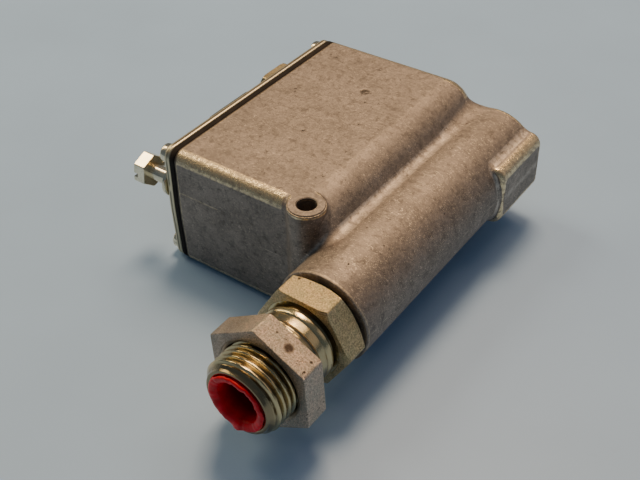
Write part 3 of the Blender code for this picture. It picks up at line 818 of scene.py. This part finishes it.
def cover_pieces():
    """The cover, its gasket, its four slotted screws, and the ground screw with its washer."""
    lo, hi = np.array([DOME_FACE, -HALF_LENGTH, 0]), np.array([COVER[0], HALF_LENGTH, HEIGHT])
    from_field("drawn_cover", pressed_cover, lo, hi, 0.38, "cover", "passivated_sheet", ("cover",))
    lo, hi = np.array([GASKET[1], -HALF_LENGTH, 0]), np.array([GASKET[0], HALF_LENGTH, HEIGHT])
    from_field("sheet_gasket", gasket, lo, hi, 0.38, "cover", "gasket_rubber", ("cover_gasket",))

    shank = [(0, 14.2), (1.1, 14.2), (1.5, 14.7), (1.5, 25.9), (1.55, 25.95)]
    head = [(2.75, 25.95), (2.82, 26.1), (2.82, 27.9), (2.7, 28.25)]
    head += [(2.3, 28.6), (1.6, 28.85), (0.8, 28.97), (0, 29.0)]
    for (name, place), turn in zip(SCREWS.items(), SLOT_TURNS):
        at = (0, place[1], place[2])
        made = turned(f"slotted_{name}", "-X", at, shank + head, "cover", "passivated_screws", (name,))
        slot_cut(made, (-30, at[1] - 4, at[2] - 0.42), (-27.7, at[1] + 4, at[2] + 0.42), turn, at)

    at = (0, GROUND[1], GROUND[2])
    lo, hi = span("ground_washer")
    low, high = -hi[0] - 0.2, -lo[0] - 0.2
    rim = [(2.75, low), (2.75, high), (4.4, high), (4.65, high - 0.2), (4.65, low + 0.2), (4.4, low)]
    turned("plain_washer", "-X", at, rim, "cover", "passivated_screws", ("ground_washer",), ring=True)
    angles = sectors(GROUND_CORNER)
    screw = joined(
        [(0, 10), (1.7, 10), (2.3, 10.9)],
        thread(2.45, 0.42, 0.8, 11.2, 26.8, angles, 1.0, 0.8, 0.13),
        [(2.4, 27.2), (2.42, 30), (2.42, 34.2)],
        hex_rings(GROUND_FLATS, angles, GROUND_CORNER, 34.2, 38.05, 2.45, 0, (0.955, 0.955)),
    )
    node = "ground_screw"
    head = turned("slotted_hexagon", "-X", at, screw, node, "passivated_screws", (node,), angles)
    slot_cut(head, (-40, at[1] - 7, at[2] - 0.6), (-36.5, at[1] + 7, at[2] + 0.6), 0, at)


def gland_pieces():
    """The cable gland: its body, the nut that clamps the seal, the nut inside the cover, and the seal."""
    at = (0, GLAND[1], GLAND[2])
    ease = (0.94, 0.94)
    angles = sectors(GLAND_CORNER)
    back = thread(7.35, 0.5, 1.0, 20.5, 25.8, angles, 0.5, 0.5, 0.14)
    outer = hex_rings(GLAND_FLATS, angles, GLAND_CORNER, 26.0, 30.3, 7.4, 6.6, ease)
    front = thread(6.6, 0.5, 1.0, 30.6, 35.2, angles, 0.6, 0.5, 0.14)
    inside = [(5.7, 35.4), (5.6, 35.2), (5.6, 31.5), (4.6, 31.5), (4.6, 20.3), (4.8, 20.2), (7.0, 20.2)]
    stem = joined(back, outer, front, inside)
    turned("gland_stem", "-X", at, stem, "cover", "brass", ("gland_body",), angles, True)
    nut = hex_rings(GLAND_FLATS, angles, GLAND_CORNER, 30.8, 37.95, 7.1, 5.4, ease)
    nut += [(4.9, 37.9), (4.6, 37.5), (4.6, 36.7), (6.9, 36.5), (6.9, 31.0)]
    turned("pressure_nut", "-X", at, nut, "gland_nut", "brass", ("gland_nut",), angles, True)

    angles = sectors(0)
    nut = hex_rings(GLAND_FLATS, angles, 0, 23.7, 21.0, 8.0, 8.0, ease) + [(7.7, 21.3), (7.7, 23.4)]
    turned("inner_locknut", "-X", at, nut, "cover", "brass", ("gland_locknut",), angles, True)
    lo, hi = -span("gland_seal")[1][0], -span("gland_seal")[0][0]
    seal = [(3.5, lo), (5.1, lo), (5.3, lo + 0.3), (5.3, hi - 1.2)]
    seal += [(4.6, hi), (3.6, hi), (3.4, hi - 0.3), (3.4, lo + 0.3)]
    turned("clamped_seal", "-X", at, seal, "cover", "seal_rubber", ("gland_seal",), ring=True)


def port_thread(angles, end):
    """The port's thread, with a rough chamfer at its end."""
    rings = thread(THREAD_R, 1.12, PITCH, -66.8, end + 0.75, angles, 1.2, 0.9, lead=0.277)
    made = []
    for radius, height in rings:
        start = np.clip((end + 2.1 - height) / 1.35, 0, 1)
        rough_edge = wave(angles, (5, 0.05, 30), (11, 0.05, 80), (19, 0.035, 10)) * start
        made.append((np.minimum(radius, THREAD_R - 1.35 * start + rough_edge), height))
    return made


def port_pieces():
    """The fitting, the seal behind it and the locknut on its thread."""
    angles = sectors(HEX_CORNER, 17)
    end = THREAD_END
    outer = hex_rings(HEX_FLATS, angles, HEX_CORNER, HEX_Y[1], HEX_Y[0], 9.7, 9.0, (0.872, 0.945))
    neck = [(8.9, -59.7), (8.85, -60.2), (9.2, -60.5), (10.05, -60.75), (10.3, -61.1), (10.3, -62.2)]
    neck += [(10.15, -62.5), (9.95, -62.75), (10.0, -63.2), (10.0, -65.0), (9.75, -65.2)]
    neck += [(9.6, -65.5), (9.6, -66.2), (9.8, -66.5)]
    tip = [(9.0, end + 0.4), (8.9, end + 0.1), (8.7, end), (8.2, end)]
    tip += [(7.95, end + 0.1), (MOUTH_R, end + 0.4)]
    inside = [(MOUTH_R, -74), (MOUTH_R, -68.3), (3.0, -66), (3.0, -38.9), (3.3, -38.6)]
    inside += [(8.9, -38.6), (9.2, -38.9), (9.2, -50), (9.2, HEX_Y[1] + 0.5), (9.5, HEX_Y[1] + 0.1)]
    rings = joined(outer, neck, port_thread(angles, end), tip, inside)
    turned("threaded_fitting", "+Y", AXIS, rings, "body", "fitting_steel", ("port_fitting",), angles, True)

    lo, hi = span("port_seal")[0][1], span("port_seal")[1][1]
    seal = [(9.6, hi - 0.1), (9.7, hi), (11.15, hi), (11.3, hi - 0.15)]
    seal += [(11.3, lo + 0.15), (11.15, lo), (9.7, lo), (9.6, lo + 0.1)]
    turned("seal_ring", "+Y", AXIS, seal, "body", "seal_rubber", ("port_seal",), ring=True)

    angles = sectors(NUT_CORNER, 17)
    lo, hi = NUT_Y
    outer = hex_rings(NUT_FLATS, angles, NUT_CORNER, hi, lo, 11.6, 11.6)
    cut = thread(10.75, -0.7, PITCH, lo + 0.5, hi - 0.5, angles, 0.5, 0.5)
    rings = outer + [(11.3, lo + 0.15)] + cut + [(11.3, hi - 0.15)]
    node = "bulkhead_locknut"
    turned("hexagon_locknut", "+Y", AXIS, rings, node, "nut_steel", (node,), angles, True)


def plug_piece():
    """The plug in the port's mouth, with a ragged rim and a small tab."""
    angles = np.arange(0, 360, 3.0 if FINE else 8.0)
    top = span("protective_plug")[0][1]
    rag = wave(angles, (3, 0.10, 20), (7, 0.12, 95), (13, 0.09, 10), (23, 0.06, 70), (31, 0.05, 0))
    tab = np.exp(-(((np.mod(angles - 268 + 180, 360) - 180) / 9) ** 2))
    rim = top + 0.12 + 0.6 * rag - 0.25 * tab
    spread = 7.85 + 0.5 * rag + 0.7 * tab
    wall = [(0, -70), (6.4, -70), (7.1, -70.3), (7.4, -71), (7.4, top + 1.9), (7.45, top + 1.2)]
    wall += [(7.6, top + 0.85)]
    lip = [(spread, rim + 0.45), (spread - 0.1, rim + 0.15), (spread - 0.5, rim)]
    lip += [(6.7 + 0.4 * rag, rim + 0.1), (5.9 + 0.3 * rag, rim + 0.5)]
    hollow = [(5.5, top + 1.5), (5.3, top + 4), (5.15, -73.2), (4.6, -72.3), (3.6, -72), (0, -72)]
    rings = wall + lip + hollow
    node = "protective_plug"
    turned("moulded_plug", "+Y", AXIS, rings, node, "red_plastic", (node,), angles, smooth=60)


def spring_pieces():
    """The range spring in two halves, and the diaphragm."""
    lo, hi = span("range_spring")
    radius, wire = 6.2, 1.0
    bottom, top = lo[1] + wire, hi[1] - wire
    turns, closed = 7.0, 1.0
    at = np.linspace(0, turns, int(turns * (36 if FINE else 14)))
    reach = [0, 2 * wire, top - bottom - 2 * wire, top - bottom]
    rise = np.interp(at, [0, closed, turns - closed, turns], reach)
    angle = 2 * np.pi * at
    path = [AXIS_X + radius * np.cos(angle), bottom + rise, MID + radius * np.sin(angle)]
    path = np.stack(path, axis=1)
    half = len(path) // 2
    lower = tube("spring_lower", path[: half + 1], wire, None, "spring_steel", ("range_spring",))
    upper = tube("spring_upper", path[half:], wire, None, "spring_steel", ("range_spring",))
    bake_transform(lower)
    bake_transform(upper)

    low, high = (corner[1] for corner in span("diaphragm"))
    disc = [(0, low + 0.25), (6.2, low + 0.25), (6.6, low + 0.15), (6.9, low), (9.2, low)]
    disc += [(9.2, low + 0.3), (7.2, low + 0.3), (6.9, low + 0.4)]
    disc += [(6.5, high - 0.05), (6.2, high), (0, high)]
    made = turned("flexing_diaphragm", "+Y", AXIS, disc, None, "seal_rubber", ("diaphragm",))
    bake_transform(made)


def carried_nodes():
    """The CAD nodes that stay get their material, rounded edges and smooth curves."""
    for part in frame["record"]["subparts"]:
        obj = frame["nodes"][part["node"]]
        obj.data.materials.clear()
        obj.data.materials.append(LOOKS[part["material_slot"]])
        if obj.hide_render:
            continue
        edge = obj.modifiers.new("edges", "BEVEL")
        edge.width, edge.segments = 0.12 * MM, 2
        edge.limit_method, edge.angle_limit = "ANGLE", math.radians(40)
        edge.use_clamp_overlap = True
        shade(obj.data, 35)


TABLE = (0.33, 0.500, 0.79)
TABLE_HALF = 12
SKY, SKY_POWER = (0.60, 0.80, 1.0), 0.135
LIT_POINT = (0.010, -0.015, 0.02)
# Each lamp: name, direction towards it, distance in metres, size, watts and colour
LIGHTS = [
    ("key", (-0.17, 0.36, 1.0), 1.0, (0.30, 0.30), 8.2, (1.0, 0.70, 0.41)),
    ("left_lamp", (-0.641, 0.018, 0.768), 1.23, (0.28, 0.28), 2.8, (1.0, 0.78, 0.48)),
    ("back_lamp", (0.0, 0.57, 0.80), 1.2, (0.85, 0.30), 4.2, (1.0, 0.69, 0.42)),
    ("side", (-0.90, -0.02, 0.50), 1.0, (0.45, 0.45), 2.4, (1.0, 0.78, 0.42)),
    ("right_fill", (0.64, 0.62, 0.44), 1.3, (1.1, 0.7), 0.85, (1.0, 0.78, 0.62)),
]
LENS, SENSOR = 54.89, 36.0
CAMERA_AT = (138.33, -188.00, 185.16)
CAMERA_AZIMUTH, CAMERA_HEIGHT, CAMERA_ROLL = (math.radians(a) for a in (36.85, 39.58, -1.82))


def lit(name, toward, distance, size, power, colour):
    """A soft light, as wide and as high as its size, that shines at the object from a direction."""
    data = bpy.data.lights.new(name, "AREA")
    data.shape, data.energy, data.color = "RECTANGLE", power, colour
    data.size, data.size_y = size
    obj = bpy.data.objects.new(name, data)
    way = Vector(toward).normalized()
    obj.location = Vector(LIT_POINT) + way * distance
    obj.rotation_euler = way.to_track_quat("Z", "Y").to_euler()
    bpy.context.scene.collection.objects.link(obj)


def floor_and_light():
    """A plain table under the part, a plain sky and the lamps."""
    mesh = bpy.data.meshes.new("table")
    bm = bmesh.new()
    bmesh.ops.create_grid(bm, x_segments=24, y_segments=24, size=TABLE_HALF)
    bm.to_mesh(mesh)
    bm.free()
    table = bpy.data.objects.new("table", mesh)
    table.location.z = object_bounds()[0][2]
    bpy.context.scene.collection.objects.link(table)
    look = Look("table")
    colour = look.mix(look.ramp(look.noise(60, 3), 0.3, 0.7), TABLE, tinted(TABLE, 1.05))
    look.finish(colour, 0.45, 0.0, look.noise(0.6, 3), 0.01, Specular_IOR_Level=0.35)
    mesh.materials.append(look.made)
    world = bpy.data.worlds.new("sky")
    bpy.context.scene.world = world
    world.use_nodes = True
    back = world.node_tree.nodes["Background"]
    back.inputs["Color"].default_value = (*SKY, 1)
    back.inputs["Strength"].default_value = SKY_POWER
    for lamp in LIGHTS:
        lit(*lamp)


def camera():
    """The photograph's view of the part."""
    data = bpy.data.cameras.new("camera")
    data.lens, data.sensor_width = LENS, SENSOR
    data.clip_start, data.clip_end = 0.01, 50
    az, el, roll = CAMERA_AZIMUTH, CAMERA_HEIGHT, CAMERA_ROLL
    back = Vector((math.sin(az) * math.cos(el), -math.cos(az) * math.cos(el), math.sin(el)))
    level = (-back).cross(Vector((0, 0, 1))).normalized()
    up = back.cross(level)
    right, up = level * math.cos(roll) + up * math.sin(roll), up * math.cos(roll) - level * math.sin(roll)
    turn = Matrix((right, up, back)).transposed().to_4x4()
    obj = bpy.data.objects.new("camera", data)
    obj.matrix_world = Matrix.Translation(Vector(CAMERA_AT) * MM) @ turn
    bpy.context.scene.collection.objects.link(obj)
    bpy.context.scene.camera = obj


camera()
body_pieces()
cover_pieces()
gland_pieces()
port_pieces()
plug_piece()
spring_pieces()
carried_nodes()
floor_and_light()
